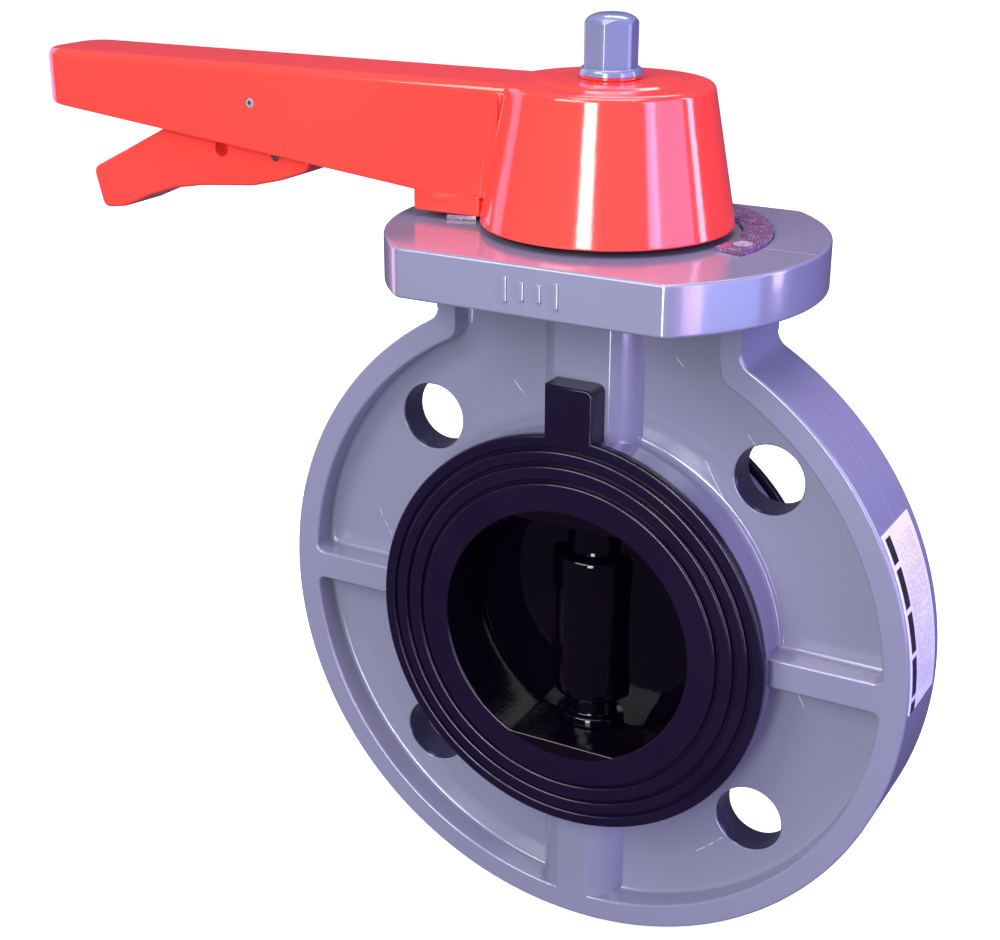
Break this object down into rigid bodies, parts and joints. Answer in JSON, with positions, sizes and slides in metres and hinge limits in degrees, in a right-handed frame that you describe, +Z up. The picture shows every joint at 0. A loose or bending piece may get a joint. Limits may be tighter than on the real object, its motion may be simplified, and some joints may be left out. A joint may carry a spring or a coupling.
{
  "type": "butterfly valve",
  "caption": "Wafer butterfly valve: ring body with bolt holes, rubber seat, turning disc on a stem, top mounting pad and a squeeze-trigger lever handle.",
  "frame": {"origin": "centre of the bore and of the flange bolt circle, halfway through the body", "axes": "+Z up along the stem to the handle, Y along the pipe with the keyed face of the seat at -Y, X across the face; the closed handle points along -X"},
  "size_m": [0.2933, 0.096, 0.2755],
  "materials": {
    "body_plastic": "moulded blue-grey PVC, satin",
    "seat_rubber": "moulded black EPDM",
    "bush_plastic": "natural bearing plastic",
    "seal_rubber": "black O-ring rubber",
    "retainer_plastic": "dark moulded plastic",
    "plate_plastic": "speckled glossy moulded plastic",
    "steel": "stainless steel",
    "dark_steel": "blackened steel",
    "label": "printed film label",
    "disc_plastic": "polished black plastic",
    "red_plastic": "glossy moulded red plastic",
    "brass": "machined insert"
  },
  "bodies": {
    "housing": {"valve_body": "body_plastic", "seat_liner": "seat_rubber", "lower_bush": "bush_plastic", "upper_bush": "bush_plastic", "stem_seals": "seal_rubber", "stem_retainer": "retainer_plastic", "retainer_screws": "steel", "index_plate": "plate_plastic", "plate_screws": "steel", "rating_label": "label"},
    "turning_set": {"stem": "steel", "disc": "disc_plastic", "disc_seals": "seal_rubber", "handle": "red_plastic", "drive_insert": "brass", "hub_washer": "steel", "stem_screw": "steel", "screw_cap": "body_plastic", "trigger_pin": "steel", "trigger_spring": "steel"},
    "trigger_set": {"trigger": "red_plastic", "link_pin": "dark_steel"},
    "latch_set": {"pull_rod": "dark_steel", "latch": "dark_steel", "latch_pin": "steel"}
  },
  "joints": [
    {"name": "handle_turn", "type": "hinge", "parent": "housing", "child": "turning_set", "pos_m": [0, 0, 0], "axis": [0, 0, -1], "range_deg": [0, 90]},
    {"name": "trigger_squeeze", "type": "hinge", "parent": "turning_set", "child": "trigger_set", "pos_m": [-0.111, 0, 0.1443], "axis": [0, 1, 0], "range_deg": [-7.5, 10], "stiffness_Nm_per_rad": 0.6, "deforming": ["trigger_spring"]},
    {"name": "latch_slide", "type": "slide", "parent": "turning_set", "child": "latch_set", "axis": [-1, 0, 0], "range_m": [-0.0022, 0.0029]}
  ],
  "couplings": [
    {"joint": "latch_slide", "follows": "trigger_squeeze", "m_per_rad": 0.0161}
  ]
}
